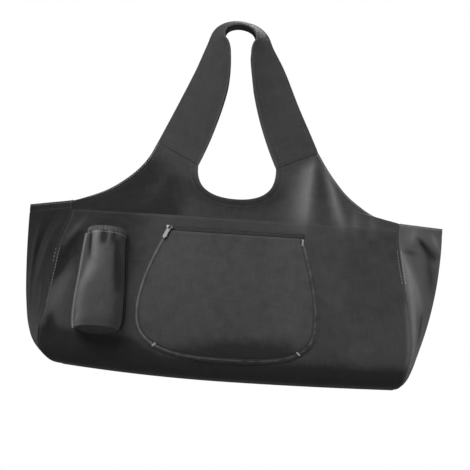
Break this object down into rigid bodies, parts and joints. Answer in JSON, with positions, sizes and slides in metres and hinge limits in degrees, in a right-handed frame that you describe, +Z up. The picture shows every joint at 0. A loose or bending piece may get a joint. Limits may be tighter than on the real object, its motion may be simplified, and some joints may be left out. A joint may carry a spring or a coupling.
{
  "type": "yoga mat bag",
  "caption": "Wide black cloth shoulder bag for a rolled exercise mat, with folding end gussets, an open top, a broad strap, a zipped front pocket and an elasticated bottle pocket.",
  "frame": {"origin": "underside of the shoulder strap at its top, where the shoulder carries the bag", "axes": "+X along the bag's width, to the right as seen from the front; +Y from the front to the back; +Z up"},
  "size_m": [0.8043, 0.2514, 0.6978],
  "materials": {
    "panel_cloth": "matt plain-weave polyester, black",
    "strap_cloth": "doubled plain-weave polyester, black",
    "pocket_cloth": "matt plain-weave polyester, black, a little lighter",
    "elastic": "ribbed elastic hem, black",
    "zip_tape": "black zip tape with moulded teeth",
    "zip_metal": "satin nickel"
  },
  "bodies": {
    "root": {"front_panel": "panel_cloth", "back_panel": "panel_cloth", "gusset_left": "panel_cloth", "gusset_right": "panel_cloth", "base_panel": "panel_cloth", "yoke_front": "panel_cloth", "yoke_back": "panel_cloth", "shoulder_strap": "strap_cloth", "front_pocket": "pocket_cloth", "pocket_zip": "zip_tape", "zip_slider": "zip_metal", "zip_pull": "zip_metal", "bottle_pocket": "pocket_cloth", "bottle_pocket_elastic": "elastic", "bottle_pocket_base": "pocket_cloth"}
  },
  "joints": []
}
